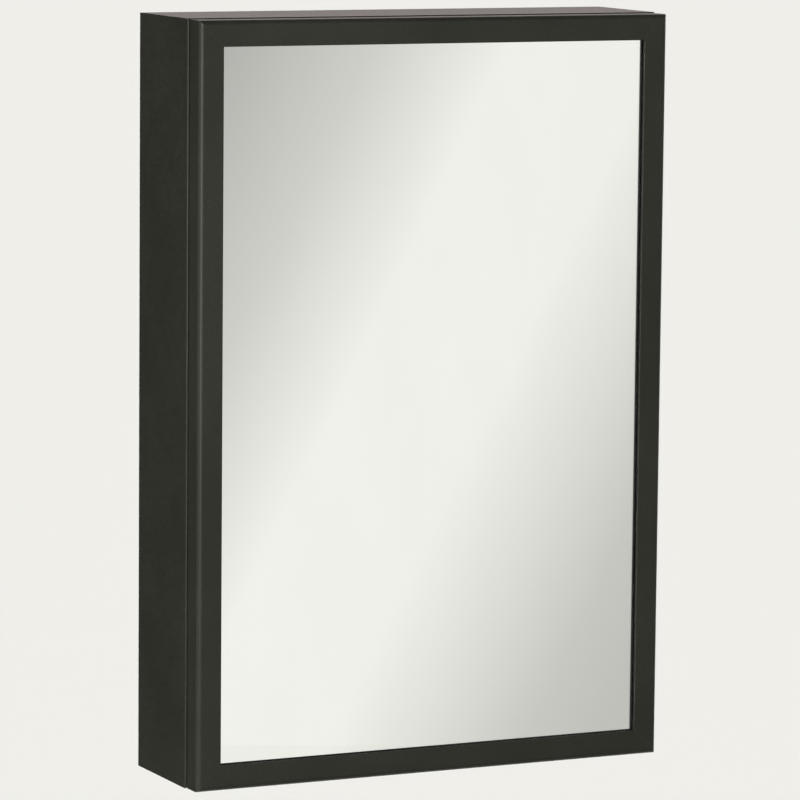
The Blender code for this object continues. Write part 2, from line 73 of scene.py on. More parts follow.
# Where things are, from the frame
CASE_HALF = (-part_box("case_left_side")[0].x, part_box("case_top")[1].z)
CASE_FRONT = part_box("case_left_side")[0].y
DOOR_HALF = (-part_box("door_frame_left")[0].x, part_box("door_frame_top")[1].z)
DOOR_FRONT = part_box("door_frame_left")[0].y
DOOR_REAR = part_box("door_frame_left")[1].y
BODY_OF = {
    node: body
    for body, nodes in frame["record"]["behaviour"]["bodies"].items()
    for node in nodes
}

# Bent sheet of the case
CASE_WALL = 1.5 * MM
CASE_FOLD = 1.2 * MM  # outer radius of the folded front edge
CASE_SEAM = 0.02 * MM  # half the welded corner's hairline
FLANGE = 14 * MM
SHEET = 1.2 * MM
SHEET_FOLD = 0.8 * MM
BURR = 0.25 * MM  # radius left on a cut sheet edge
PANEL_CORNER = 1.5 * MM
RAIL_CORNER = 3 * MM

# Door frame section
FRAME_FACE = 20.4 * MM
FRAME_RADIUS = 4 * MM
FRAME_REAR_RADIUS = 0.9 * MM
FRAME_BOX = 11.5 * MM
FRAME_WALL = 1.6 * MM
FRONT_LIP = 1.6 * MM
REAR_LIP = 1 * MM
REAR_LIP_REACH = 16 * MM
LIP_RADIUS = 0.5 * MM
MITRE_SEAM = 0.02 * MM  # half the mitre's visible line
GASKET_REACH = 0.3 * MM  # how far the gasket shows past the frame
GASKET_CORNER = 0.4 * MM
THIN_ARRIS = 0.12 * MM

# Glass
GLASS_CORNER = 2 * MM
GLASS_ARRIS = 0.45 * MM
BACKING = 0.08 * MM  # thickness of a mirror's backing paint

# Holes
WALL_SCREW_RADIUS = 3.25 * MM
WALL_SCREW_SPREAD = 150 * MM
PIN_HOLE_RADIUS = 2.5 * MM
PIN_HOLE_PITCH = 32 * MM
PIN_HOLES = 11
HOLE_CLEARANCE = 0.3 * MM
HEAD_CLEARANCE = 0.15 * MM  # round a countersunk head
SHANK_INSET = 0.8 * MM  # how much smaller than the head a screw's hole is, on the radius
TOOL_LENGTH = 20 * MM  # of a tool that cuts a hole right through
LONG_TOOL_LENGTH = 30 * MM  # and one through the thick catch

# Spot welds along the back panel's edges
WELD_RADIUS = 2.6 * MM
WELD_DEPTH = 0.3 * MM
WELD_INSET = 6.5 * MM
WELDS_EACH_WAY = 4

# Hinge
KNUCKLES = 5
KNUCKLE_GAP = 0.3 * MM
KNUCKLE_RADIUS = 1.88 * MM
KNUCKLE_ROOM = 2.2 * MM
KNUCKLE_ARRIS = 0.15 * MM
PIN_BORE = 1.1 * MM
PIN_SHANK = 1 * MM
PIN_CAP = 0.8 * MM  # thickness of the pin's head
LEAF_CORNER = 2 * MM
LEAF_THICKNESS = 0.8 * MM
LEAF_OFFSET = 0.15 * MM  # from the pin's axis to the near face of a leaf

# Shelf pins
PEG_RADIUS = 2.6 * MM
PEG_LENGTH = 8 * MM
PEG_GROOVE = 0.25 * MM
PEG_COLLAR_RADIUS = 3.4 * MM
PEG_COLLAR = 1 * MM
PEG_TAIL_RADIUS = 2.2 * MM
PEG_TAIL = 4 * MM

# Screws: the head's height or depth, and the shank's radius
HINGE_SCREW = (1.2 * MM, 1.4 * MM)
CATCH_SCREW = (1.2 * MM, 1.4 * MM)
STRIKE_SCREW = (1.0 * MM, 1.1 * MM)
THREAD_PITCH = 0.7 * MM
THREAD_HEIGHT = 0.18 * MM
THREAD_TIP = 0.3  # the point's width as a share of the shank's
RECESS_REACH = 0.6  # the cross recess's reach as a share of the head's radius
RECESS_DEPTH = 0.75  # and its depth as a share of the head's
RECESS_ARM = 0.26  # the width of its arms as a share of its reach
RECESS_TAPER = 0.35  # the size of its floor as a share of its mouth

# Catch
CATCH_EAR = 3 * MM  # thickness of the ears that the catch is screwed down by
CATCH_BODY = 41 * MM
POLE_PLATE = 1.2 * MM
POLE_PROUD = 0.3 * MM

SMOOTH_ANGLE = math.radians(32)
ARC_STEPS = 12
ROUND_STEPS = 48
HOLE_STEPS = 32


# ---- materials ------------------------------------------------------------------------------------------


def linear(channel):
    """The linear value of an sRGB level from 0 to 255."""
    share = channel / 255
    return share / 12.92 if share <= 0.04045 else ((share + 0.055) / 1.055) ** 2.4


def colour(red, green, blue):
    return (linear(red), linear(green), linear(blue), 1)


def colour_socket(sockets, name):
    """A Mix node's colour socket of this name, which it also has for numbers and vectors."""
    return next(socket for socket in sockets if socket.name == name and socket.type == "RGBA")


class Surface:
    """A material and the layers of pattern that its finish is made of."""

    def __init__(self, name, roughness, metallic=0.0, specular=0.5):
        self.material = bpy.data.materials.new(name)
        self.material.use_nodes = True
        self.tree = self.material.node_tree
        self.shader = self.tree.nodes["Principled BSDF"]
        self.set("Roughness", roughness)
        self.set("Metallic", metallic)
        self.set("Specular IOR Level", specular)
        self.place = self.node("ShaderNodeTexCoord").outputs["Object"]
        self.relief = None

    def node(self, kind, **settings):
        node = self.tree.nodes.new(kind)
        for name, value in settings.items():
            setattr(node, name, value)
        return node

    def link(self, source, target):
        self.tree.links.new(source, target)

    def set(self, socket, value):
        self.shader.inputs[socket].default_value = value

    def stretched(self, size, stretch):
        mapping = self.node("ShaderNodeMapping")
        mapping.inputs["Scale"].default_value = [share / size for share in stretch]
        self.link(self.place, mapping.inputs["Vector"])
        return mapping.outputs["Vector"]

    def noise(self, size, detail=3.0, stretch=(1, 1, 1)):
        """A cloudy pattern whose blotches are about this size in metres."""
        texture = self.node("ShaderNodeTexNoise")
        texture.inputs["Scale"].default_value = 1
        texture.inputs["Detail"].default_value = detail
        self.link(self.stretched(size, stretch), texture.inputs["Vector"])
        return texture.outputs["Fac"]

    def cells(self, size):
        """A pattern of cells about this size, dark at the middle of each."""
        texture = self.node("ShaderNodeTexVoronoi")
        texture.inputs["Scale"].default_value = 1
        self.link(self.stretched(size, (1, 1, 1)), texture.inputs["Vector"])
        return texture.outputs["Distance"]

    def ranged(self, pattern, source, target):
        """The pattern, its values between the source's two stretched to the target's two."""
        node = self.node("ShaderNodeMapRange")
        values = (*source, *target)
        for socket, value in zip(("From Min", "From Max", "To Min", "To Max"), values):
            node.inputs[socket].default_value = value
        self.link(pattern, node.inputs["Value"])
        return node.outputs["Result"]

    def mixed(self, share, first, second):
        """A colour between two: each is a colour or another mix."""
        node = self.node("ShaderNodeMix", data_type="RGBA")
        self.link(share, node.inputs["Factor"])
        for socket, value in (("A", first), ("B", second)):
            target = colour_socket(node.inputs, socket)
            if isinstance(value, bpy.types.NodeSocket):
                self.link(value, target)
            else:
                target.default_value = value
        return colour_socket(node.outputs, "Result")

    def edges(self, width):
        """1 along edges and 0 on flat ground; on the coat it marks rubbed wear together with a painted
        edge highlight.
        """
        bevel = self.node("ShaderNodeBevel", samples=4)
        bevel.inputs["Radius"].default_value = width
        ground = self.node("ShaderNodeNewGeometry").outputs["Normal"]
        turn = self.node("ShaderNodeVectorMath", operation="DOT_PRODUCT")
        self.link(bevel.outputs["Normal"], turn.inputs[0])
        self.link(ground, turn.inputs[1])
        return self.ranged(turn.outputs["Value"], (0.99, 0.9), (0, 1))

    def base(self, source):
        self.link(source, self.shader.inputs["Base Color"])

    def rough(self, source):
        self.link(source, self.shader.inputs["Roughness"])

    def bump(self, pattern, height):
        node = self.node("ShaderNodeBump")
        node.inputs["Strength"].default_value = 1
        node.inputs["Distance"].default_value = height
        self.link(pattern, node.inputs["Height"])
        if self.relief:
            self.link(self.relief, node.inputs["Normal"])
        self.relief = node.outputs["Normal"]
        self.link(self.relief, self.shader.inputs["Normal"])


def powder_coat():
    """Fine-grained matt black, cloudy over a hand's breadth and lighter along its edges, partly rubbed
    wear and partly a painted highlight.
    """
    coat = Surface("black_powder_coat", 0.45, specular=0.42)
    coat.set("Specular Tint", (1.0, 0.99, 0.90, 1))
    grain = coat.noise(1.3 * MM, 4)
    cloud = coat.noise(70 * MM, 2)
    speck = coat.ranged(grain, (0.35, 0.7), (0, 1))
    ground = coat.mixed(speck, colour(24, 25, 20), colour(40, 41, 34))
    shade = coat.mixed(coat.ranged(cloud, (0.35, 0.65), (0, 0.6)), ground, colour(24, 24, 20))
    # lighter colour along the edges: partly rubbed wear, partly a painted highlight on the rounds
    wear_and_highlight = coat.edges(0.5 * MM)
    coat.base(coat.mixed(coat.ranged(wear_and_highlight, (0, 1), (0, 0.35)), shade, colour(62, 61, 57)))
    coat.rough(coat.ranged(grain, (0.3, 0.7), (0.40, 0.52)))
    coat.bump(coat.noise(5 * MM, 1), 0.015 * MM)
    coat.bump(grain, 0.02 * MM)
    return coat.material


def silvering():
    """The silver on the back of the glass, seen through it."""
    silver = Surface("mirror_silver", 0.0, metallic=1.0)
    cloud = silver.noise(60 * MM, 3, (1, 1, 0.4))
    silver.base(silver.mixed(cloud, colour(249, 250, 247), colour(252, 252, 250)))
    silver.bump(silver.noise(180 * MM, 0), 0.002 * MM)
    return silver.material


def float_glass():
    """The mirror's clear front, with the faintest film where it was wiped."""
    glass = Surface("clear_float_glass", 0.0)
    film = glass.noise(60 * MM, 3, (1, 1, 0.4))
    glass.base(glass.mixed(film, colour(250, 252, 251), colour(252, 253, 252)))
    glass.rough(glass.ranged(film, (0.45, 0.85), (0.0, 0.012)))
    glass.set("Transmission Weight", 1.0)
    glass.set("IOR", 1.52)
    return glass.material


def glass_edge():
    """The ground and polished edge of float glass, green from the depth of glass behind it."""
    edge = Surface("ground_glass_edge", 0.25)
    streak = edge.noise(2.5 * MM, 3, (0.2, 1, 1))
    edge.base(edge.mixed(streak, colour(86, 140, 122), colour(132, 178, 160)))
    edge.rough(edge.ranged(streak, (0.3, 0.7), (0.16, 0.34)))
    edge.set("Transmission Weight", 0.45)
    edge.set("IOR", 1.52)
    edge.bump(edge.noise(0.5 * MM, 2), 0.01 * MM)
    return edge.material


def mirror_backing():
    paint = Surface("mirror_backing_paint", 0.6)
    spray = paint.noise(3 * MM, 4)
    paint.base(paint.mixed(spray, colour(96, 100, 104), colour(116, 119, 122)))
    paint.rough(paint.ranged(spray, (0.3, 0.7), (0.5, 0.7)))
    paint.bump(spray, 0.03 * MM)
    return paint.material


def clear_glass():
    """Clear shelf glass with a slight green cast and a few fingermarks."""
    glass = Surface("clear_shelf_glass", 0.02)
    mark = glass.noise(35 * MM, 5)
    glass.base(glass.mixed(mark, colour(236, 246, 242), colour(242, 249, 246)))
    glass.rough(glass.ranged(mark, (0.55, 0.85), (0.0, 0.07)))
    glass.set("Transmission Weight", 1.0)
    glass.set("IOR", 1.52)
    glass.bump(glass.noise(120 * MM, 0), 0.004 * MM)
    return glass.material


def rubber():
    black = Surface("black_rubber", 0.7, specular=0.3)
    dust = black.noise(1.6 * MM, 4)
    black.base(black.mixed(dust, colour(20, 20, 20), colour(38, 38, 37)))
    black.rough(black.ranged(dust, (0.3, 0.7), (0.62, 0.82)))
    black.bump(dust, 0.02 * MM)
    return black.material


def fibreboard():
    board = Surface("raw_fibreboard", 0.85, specular=0.2)
    fibre = board.noise(1.2 * MM, 5, (1, 1, 0.35))
    board.base(board.mixed(fibre, colour(120, 92, 62), colour(166, 134, 98)))
    board.rough(board.ranged(fibre, (0.3, 0.7), (0.78, 0.92)))
    board.bump(fibre, 0.06 * MM)
    return board.material


def drawn_aluminium():
    metal = Surface("mill_aluminium", 0.4, metallic=1.0)
    line = metal.noise(0.6 * MM, 3, (1, 1, 0.03))
    metal.base(metal.mixed(line, colour(184, 185, 187), colour(206, 207, 208)))
    metal.rough(metal.ranged(line, (0.3, 0.7), (0.32, 0.5)))
    metal.bump(line, 0.008 * MM)
    return metal.material


def zinc_plate():
    """Bright zinc on pressed and turned steel: cloudy over fine tool lines, brighter at the edges."""
    zinc = Surface("bright_zinc_plate", 0.32, metallic=1.0)
    cloud = zinc.noise(4 * MM, 4)
    line = zinc.noise(0.35 * MM, 2, (1, 1, 0.1))
    plating = zinc.mixed(cloud, colour(166, 170, 176), colour(198, 200, 203))
    zinc.base(zinc.mixed(zinc.edges(0.4 * MM), plating, colour(222, 223, 224)))
    zinc.rough(zinc.ranged(cloud, (0.3, 0.7), (0.24, 0.42)))
    zinc.bump(line, 0.006 * MM)
    return zinc.material


def moulded_plastic():
    plastic = Surface("moulded_black_plastic", 0.5, specular=0.4)
    grain = plastic.cells(0.5 * MM)
    cloud = plastic.noise(12 * MM, 2)
    plastic.base(plastic.mixed(cloud, colour(25, 25, 27), colour(34, 34, 36)))
    plastic.rough(plastic.ranged(grain, (0.1, 0.7), (0.42, 0.6)))
    plastic.bump(grain, 0.02 * MM)
    return plastic.material


def ferrite():
    """The magnet's ground face: dark, faintly metallic, with grinding lines across it."""
    block = Surface("sintered_ferrite", 0.5, metallic=0.4)
    pore = block.noise(0.4 * MM, 4)
    line = block.noise(0.5 * MM, 2, (0.06, 1, 1))
    block.base(block.mixed(pore, colour(48, 48, 50), colour(70, 70, 72)))
    block.rough(block.ranged(line, (0.3, 0.7), (0.36, 0.6)))
    block.bump(line, 0.01 * MM)
    return block.material


MATERIALS = {
    "coat": powder_coat(),
    "silver": silvering(),
    "float_glass": float_glass(),
    "glass_edge": glass_edge(),
    "backing": mirror_backing(),
    "glass": clear_glass(),
    "rubber": rubber(),
    "board": fibreboard(),
    "aluminium": drawn_aluminium(),
    "zinc": zinc_plate(),
    "plastic": moulded_plastic(),
    "ferrite": ferrite(),
}


# ---- shape helpers --------------------------------------------------------------------------------------


def rounded(corners, steps=ARC_STEPS):
    """An outline through (x, y, radius) corners, with an arc at each corner that has a radius."""
    points = []
    for index, (x, y, radius) in enumerate(corners):
        here = Vector((x, y))
        if not radius:
            points.append(here)
            continue
        before = (Vector(corners[index - 1][:2]) - here).normalized()
        after = (Vector(corners[(index + 1) % len(corners)][:2]) - here).normalized()
        half = before.angle(after) / 2
        centre = here + (before + after).normalized() * radius / math.sin(half)
        start = here + before * radius / math.tan(half) - centre
        sweep = start.angle_signed(here + after * radius / math.tan(half) - centre)
        for step in range(steps + 1):
            points.append(centre + Matrix.Rotation(-sweep * step / steps, 2) @ start)
    return points


def rectangle(half_width, half_height, radius=0):
    """A rectangle's outline about the origin, its corners rounded."""
    ways = ((-1, -1), (1, -1), (1, 1), (-1, 1))
    return rounded([(x * half_width, y * half_height, radius) for x, y in ways])


def evaluated(source, *helpers):
    """The mesh that an object's modifiers make. The object and its helpers are removed."""
    scene = bpy.context.scene.collection.objects
    for obj in (source, *helpers):
        scene.link(obj)
    graph = bpy.context.evaluated_depsgraph_get()
    mesh = bpy.data.meshes.new_from_object(source.evaluated_get(graph))
    for obj in (source, *helpers):
        bpy.data.objects.remove(obj)
    return mesh


def tidied(mesh):
    """Welds loose seams and turns every face outwards."""
    shape = bmesh.new()
    shape.from_mesh(mesh)
    bmesh.ops.remove_doubles(shape, verts=shape.verts, dist=1e-6)
    bmesh.ops.dissolve_degenerate(shape, edges=shape.edges, dist=1e-7)
    bmesh.ops.recalc_face_normals(shape, faces=shape.faces)
    shape.to_mesh(mesh)
    shape.free()
    return mesh


def prism(outlines, thickness):
    """Flat outlines in local XY, the inner ones being holes, made this thick along local Z."""
    curve = bpy.data.curves.new("outline", "CURVE")
    curve.dimensions = "2D"
    curve.fill_mode = "BOTH"
    curve.extrude = thickness / 2
    for outline in outlines:
        spline = curve.splines.new("POLY")
        spline.points.add(len(outline) - 1)
        for point, (x, y) in zip(spline.points, outline):
            point.co = (x, y, 0, 1)
        spline.use_cyclic_u = True
    mesh = evaluated(bpy.data.objects.new("outline", curve))
    mesh.materials.clear()
    return tidied(mesh)


def turned(corners, steps=ROUND_STEPS):
    """A round piece about local Z from (radius, height, fillet) corners, from its top to its bottom."""
    shape = bmesh.new()
    points = [shape.verts.new((x, 0, z)) for x, z in rounded(corners, 4)]
    for first, second in zip(points, points[1:]):
        shape.edges.new((first, second))
    bmesh.ops.spin(
        shape, geom=shape.verts[:] + shape.edges[:], cent=(0, 0, 0), axis=UP,
        angle=math.tau, steps=steps, use_merge=True,
    )
    mesh = bpy.data.meshes.new("turned")
    shape.to_mesh(mesh)
    shape.free()
    return tidied(mesh)


def cylinder(radius, length, steps=ROUND_STEPS):
    half = length / 2
    return turned([(0, half, 0), (radius, half, 0), (radius, -half, 0), (0, -half, 0)], steps)


def block(low, high):
    low, high = Vector(low), Vector(high)
    mesh = bpy.data.meshes.new("block")
    shape = bmesh.new()
    place = Matrix.Translation((low + high) / 2) @ Matrix.Diagonal((*(high - low), 1))
    bmesh.ops.create_cube(shape, size=1, matrix=place)
    shape.to_mesh(mesh)
    shape.free()
    return mesh


def laid(mesh, at=(0, 0, 0), axis=UP):
    """The mesh moved to a place, with its local Z along the axis."""
    turn = UP.rotation_difference(Vector(axis)).to_matrix().to_4x4()
    mesh.transform(Matrix.Translation(at) @ turn)
    return mesh


def together(meshes):
    """Several meshes in one."""
    shape = bmesh.new()
    for mesh in meshes:
        shape.from_mesh(mesh)
    joined = bpy.data.meshes.new("joined")
    shape.to_mesh(joined)
    shape.free()
    return joined


def carved(mesh, tool, operation="DIFFERENCE"):
    """The mesh with the tool's shape taken out of it, or joined to it."""
    source = bpy.data.objects.new("carved", mesh)
    helper = bpy.data.objects.new("tool", tool)
    modifier = source.modifiers.new("carve", "BOOLEAN")
    modifier.operation = operation
    modifier.object = helper
    result = evaluated(source, helper)
    result.materials.clear()
    return tidied(result)


def arrised(mesh, width, segments=2, angle=SMOOTH_ANGLE):
    """The mesh with its sharp edges taken off."""
    source = bpy.data.objects.new("arrised", mesh)
    modifier = source.modifiers.new("arris", "BEVEL")
    modifier.width = width
    modifier.segments = segments
    modifier.limit_method = "ANGLE"
    modifier.angle_limit = angle
    return evaluated(source)


def show(node, mesh, finish, others=(), choose=None):
    """The visible piece that stands for a CAD node. choose gives a face's place among the finishes."""
    mesh.materials.clear()
    for name in (finish, *others):
        mesh.materials.append(MATERIALS[name])
    if choose:
        for face in mesh.polygons:
            face.material_index = choose(face)
    mesh.shade_smooth()
    mesh.set_sharp_from_angle(angle=SMOOTH_ANGLE)
    piece = bpy.data.objects.new(f"fine_{node}", mesh)
    bpy.context.scene.collection.objects.link(piece)
    normals = piece.modifiers.new("even_flats", "WEIGHTED_NORMAL")
    normals.keep_sharp = True
    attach(piece, BODY_OF[node])
    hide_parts(node)
    return piece


def middle(node):
    low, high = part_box(node)
    return (low + high) / 2


def size(node):
    low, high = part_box(node)
    return high - low


# ---- case -----------------------------------------------------------------------------------------------


def mitred(outlines, side, half_size, seam):
    """One side of a mitred frame. Outlines run in (inset from the outer face, depth along Y)."""
    upright = side in ("left", "right")
    across, along = half_size if upright else reversed(half_size)
    mesh = prism(outlines, 2 * along)
    for vertex in mesh.vertices:
        vertex.co.z -= math.copysign(vertex.co.x + seam, vertex.co.z)
    mesh.transform(Matrix.Rotation(TURNS[side], 4, "Y") @ Matrix.Translation((-across, 0, 0)))
    return mesh


def case_section():
    ledge_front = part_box("back_panel")[0].y - HOLE_CLEARANCE - SHEET
    ledge_rear = ledge_front + SHEET
    return rounded([
        (0, 0, BURR),
        (0, CASE_FRONT, CASE_FOLD),
        (FLANGE, CASE_FRONT, BURR),
        (FLANGE, CASE_FRONT + CASE_WALL, BURR),
        (CASE_WALL, CASE_FRONT + CASE_WALL, BURR),
        (CASE_WALL, ledge_front, BURR),
        (FLANGE, ledge_front, BURR),
        (FLANGE, ledge_rear, BURR),
        (CASE_WALL, ledge_rear, 0),
        (CASE_WALL, 0, BURR),
    ])


def bores(nodes, clearance, length, axis):
    """Round holes along an axis for the pieces of these nodes, as one tool."""
    holes = []
    for node in nodes:
        width = max(size(node).x, size(node).z)
        hole = cylinder(width / 2 + clearance, length, HOLE_STEPS)
        holes.append(laid(hole, middle(node), axis))
    return together(holes)


def hinge_grooves():
    """The room that the knuckles turn in, along the case's and the door's right edges."""
    grooves = []
    for hinge in ("upper_hinge", "lower_hinge"):
        pin = f"{hinge}_pin"
        groove = cylinder(KNUCKLE_ROOM, size(pin).z + 4 * HOLE_CLEARANCE)
        grooves.append(laid(groove, middle(pin)))
    return together(grooves)


def magnet_window():
    low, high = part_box("catch_magnet")
    room = Vector((HOLE_CLEARANCE, 0, HOLE_CLEARANCE))
    return block(low - room - TO_WALL * MM, high + room)


def make_case():
    names = {side: f"case_{side}" for side in ("top", "bottom")}
    names |= {side: f"case_{side}_side" for side in ("left", "right")}
    meshes = {side: mitred([case_section()], side, CASE_HALF, CASE_SEAM) for side in names}
    meshes["right"] = carved(meshes["right"], hinge_grooves())
    screws = [f"catch_screw_{place}" for place in ("upper", "lower")]
    tools = together([magnet_window(), bores(screws, -SHANK_INSET, LONG_TOOL_LENGTH, TO_WALL)])
    meshes["left"] = carved(meshes["left"], tools)
    for side, name in names.items():
        show(name, meshes[side], "coat")


def wall_screw_holes():
    holes = []
    for rail in ("hanging_rail_upper", "hanging_rail_lower"):
        for x in (-WALL_SCREW_SPREAD, WALL_SCREW_SPREAD):
            at = Vector((x, 0, middle(rail).z))
            holes.append(laid(cylinder(WALL_SCREW_RADIUS, TOOL_LENGTH), at, TO_WALL))
    return together(holes)


def weld_marks(half_width, half_height):
    """Shallow round dishes in the back panel, where it is spot welded to the case's rear ledge."""
    rim, floor, depth = WELD_RADIUS, 0.85 * WELD_RADIUS, WELD_DEPTH
    dish = [(0, MM, 0), (rim, MM, 0), (rim, 0, 0), (floor, -depth, 0), (0, -depth, 0)]
    across, along = half_width - WELD_INSET, half_height - WELD_INSET
    places = []
    for step in range(-WELDS_EACH_WAY, WELDS_EACH_WAY + 1):
        share = step / WELDS_EACH_WAY
        places += [(way * across, share * (along - 2 * WELD_INSET)) for way in (-1, 1)]
        places += [(share * (across - 2 * WELD_INSET), way * along) for way in (-1, 1)]
    return together([laid(turned(dish, 24), (x, 0, z), TO_WALL) for x, z in places])


def make_back():
    low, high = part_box("back_panel")
    panel = prism([rectangle(high.x, high.z, PANEL_CORNER)], high.y - low.y)
    laid(panel, (0, (low.y + high.y) / 2, 0), TO_ROOM)
    panel = carved(carved(panel, wall_screw_holes()), weld_marks(high.x, high.z))
    show("back_panel", panel, "coat")
    for name in ("hanging_rail_upper", "hanging_rail_lower"):
        half = size(name) / 2
        rail = prism([rectangle(half.x, half.z, RAIL_CORNER)], size(name).y)
        laid(rail, middle(name), TO_ROOM)
        show(name, arrised(carved(rail, wall_screw_holes()), BURR), "coat")


# ---- shelves --------------------------------------------------------------------------------------------


def channel_section(half_width, depth):
    """A channel about its own middle line: x from its feet to its face, y across it."""
    return rounded([
        (0, -half_width, 0),
        (depth, -half_width, SHEET_FOLD),
        (depth, half_width, SHEET_FOLD),
        (0, half_width, 0),
        (0, half_width - SHEET, 0),
        (depth - SHEET, half_width - SHEET, BURR),
        (depth - SHEET, SHEET - half_width, BURR),
        (0, SHEET - half_width, 0),
    ])


def make_standard(node, inward):
    """A strip with a row of round holes for the shelf pins. inward is +1 on the left side."""
    low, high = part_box(node)
    channel = prism([channel_section(size(node).y / 2, size(node).x)], size(node).z)
    channel.transform(Matrix.Rotation(0 if inward > 0 else math.pi, 4, "Z"))
    laid(channel, (low.x if inward > 0 else high.x, middle(node).y, 0))
    holes = []
    for number in range(PIN_HOLES):
        height = (number - PIN_HOLES // 2) * PIN_HOLE_PITCH
        at = (high.x if inward > 0 else low.x, middle(node).y, height)
        holes.append(laid(cylinder(PIN_HOLE_RADIUS, 3 * SHEET, HOLE_STEPS), at, TO_RIGHT))
    show(node, carved(channel, together(holes)), "coat")


def shelf_pin():
    """A shelf pin about local Z: the peg upwards, the collar above the origin, the tail below it."""
    peg_end = PEG_COLLAR + PEG_LENGTH
    return turned([
        (0, peg_end, 0),
        (PEG_RADIUS, peg_end, 0.9 * MM),
        (PEG_RADIUS, PEG_COLLAR + PEG_GROOVE, 0),
        (PEG_RADIUS - PEG_GROOVE, PEG_COLLAR, 0),
        (PEG_COLLAR_RADIUS, PEG_COLLAR, PEG_GROOVE),
        (PEG_COLLAR_RADIUS, 0, PEG_GROOVE),
        (PEG_TAIL_RADIUS, 0, 0),
        (PEG_TAIL_RADIUS, -PEG_TAIL, 0.6 * MM),
        (0, -PEG_TAIL, 0),
    ])


def glazed(node):
    """A level sheet of glass with small round corners and arrised edges."""
    half = size(node) / 2
    sheet = prism([rectangle(half.x, half.y, GLASS_CORNER)], size(node).z)
    return arrised(laid(sheet, middle(node)), GLASS_ARRIS)


def make_shelves():
    for side, inward in (("left", 1), ("right", -1)):
        for row in ("rear", "front"):
            make_standard(f"shelf_standard_{side}_{row}", inward)
            for level in ("upper", "lower"):
                node = f"shelf_pin_{level}_{side}_{row}"
                low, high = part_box(node)
                at = middle(node)
                at.x = low.x + PEG_TAIL if inward > 0 else high.x - PEG_TAIL
                show(node, laid(shelf_pin(), at, TO_RIGHT * inward), "zinc")
    for level in ("upper", "lower"):
        node = f"shelf_{level}"
        show(node, glazed(node), "glass", ["glass_edge"], lambda face: abs(face.normal.z) < 0.5)


# ---- door -----------------------------------------------------------------------------------------------


def door_section():
    """The frame member's outline and its hollow."""
    lip_back = DOOR_FRONT + FRONT_LIP
    outline = rounded([
        (0, DOOR_REAR, FRAME_REAR_RADIUS),
        (0, DOOR_FRONT, FRAME_RADIUS),
        (FRAME_FACE, DOOR_FRONT, LIP_RADIUS),
        (FRAME_FACE, lip_back, BURR),
        (FRAME_BOX, lip_back, BURR),
        (FRAME_BOX, DOOR_REAR - REAR_LIP, BURR),
        (REAR_LIP_REACH, DOOR_REAR - REAR_LIP, BURR),
        (REAR_LIP_REACH, DOOR_REAR, LIP_RADIUS),
    ])
    near, far = DOOR_FRONT + FRAME_WALL, DOOR_REAR - FRAME_WALL
    inner = FRAME_BOX - FRAME_WALL
    hollow = rounded([
        (FRAME_WALL, far, 0),
        (FRAME_WALL, near, FRAME_RADIUS - FRAME_WALL),
        (inner, near, BURR),
        (inner, far, BURR),
    ])
    return [outline, hollow]


def make_door_frame():
    for side in TURNS:
        mesh = mitred(door_section(), side, DOOR_HALF, MITRE_SEAM)
        if side == "right":
            mesh = carved(mesh, hinge_grooves())
        show(f"door_frame_{side}", mesh, "coat")


def make_gasket():
    low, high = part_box("mirror_gasket")
    reach = FRAME_FACE + GASKET_REACH
    window = rectangle(DOOR_HALF[0] - reach, DOOR_HALF[1] - reach, GASKET_CORNER)
    ring = prism([rectangle(high.x, high.z, GLASS_CORNER), window], high.y - low.y)
    laid(ring, middle("mirror_gasket"), TO_ROOM)
    show("mirror_gasket", arrised(ring, THIN_ARRIS), "rubber")


def make_mirror(node, outward):
    """A pane with its silver and grey backing paint on the side away from the one that is looked into."""
    half, thickness = size(node) / 2, size(node).y
    pane = prism([rectangle(half.x, half.z, GLASS_CORNER)], thickness - 2 * BACKING)
    pane = arrised(laid(pane, middle(node) + outward * BACKING, TO_ROOM), GLASS_ARRIS)
    paint_half = half - Vector((1, 0, 1)) * GLASS_ARRIS
    paint = prism([rectangle(paint_half.x, paint_half.z, GLASS_CORNER)], BACKING)
    laid(paint, middle(node) - outward * (thickness - BACKING) / 2, TO_ROOM)
    silvered = (middle(node) - outward * (thickness / 2 - 1.5 * BACKING)).y * outward.y

    def finish_of(face):
        if face.center.y * outward.y < silvered:
            return 3
        facing = face.normal.dot(outward)
        return 1 if facing > 0.9 else 0 if facing < -0.9 else 2

    show(node, together([pane, paint]), "silver", ["float_glass", "glass_edge", "backing"], finish_of)


# ---- screws ---------------------------------------------------------------------------------------------


def cross_recess(radius, depth):
    """A cross-shaped tool that narrows downwards, its top at the origin."""
    arm, half = radius, radius * RECESS_ARM
    quarter = [(half, half), (half, arm), (-half, arm)]
    outline = []
    for turn in range(4):
        spin = Matrix.Rotation(turn * math.pi / 2, 2)
        outline += [spin @ Vector(point) for point in quarter]
    mesh = prism([outline], 2 * depth)
    for vertex in mesh.vertices:
        if vertex.co.z < 0:
            vertex.co.x *= RECESS_TAPER
            vertex.co.y *= RECESS_TAPER
    return mesh


def threaded(shank, start, end):
    """The (radius, height, fillet) corners of a thread's flanks down a shank."""
    root = shank - THREAD_HEIGHT
    count = int((start - end - shank) / THREAD_PITCH)
    corners = []
    for number in range(count):
        top = start - number * THREAD_PITCH
        corners += [(root, top, 0), (shank, top - THREAD_PITCH / 2, 0)]
    corners.append((root, start - count * THREAD_PITCH, 0))
    return corners + [(shank * THREAD_TIP, end, 0), (0, end, 0)]


def countersunk(head, depth, shank, length):
    profile = [(0, 0, 0), (head, 0, 0), (head, -0.25 * MM, 0), (shank, -depth, 0)]
    mesh = turned(profile + threaded(shank, -depth, -length))
    return carved(mesh, cross_recess(head * RECESS_REACH, depth * RECESS_DEPTH))


def pan_head(head, height, shank, length):
    profile = [(0, height, 0), (head, height, height * 0.55), (head, 0, 0), (shank, 0, 0)]
    mesh = turned(profile + threaded(shank, 0, -length))
    tool = cross_recess(head * RECESS_REACH, height * RECESS_DEPTH)
    return carved(mesh, laid(tool, (0, 0, height)))


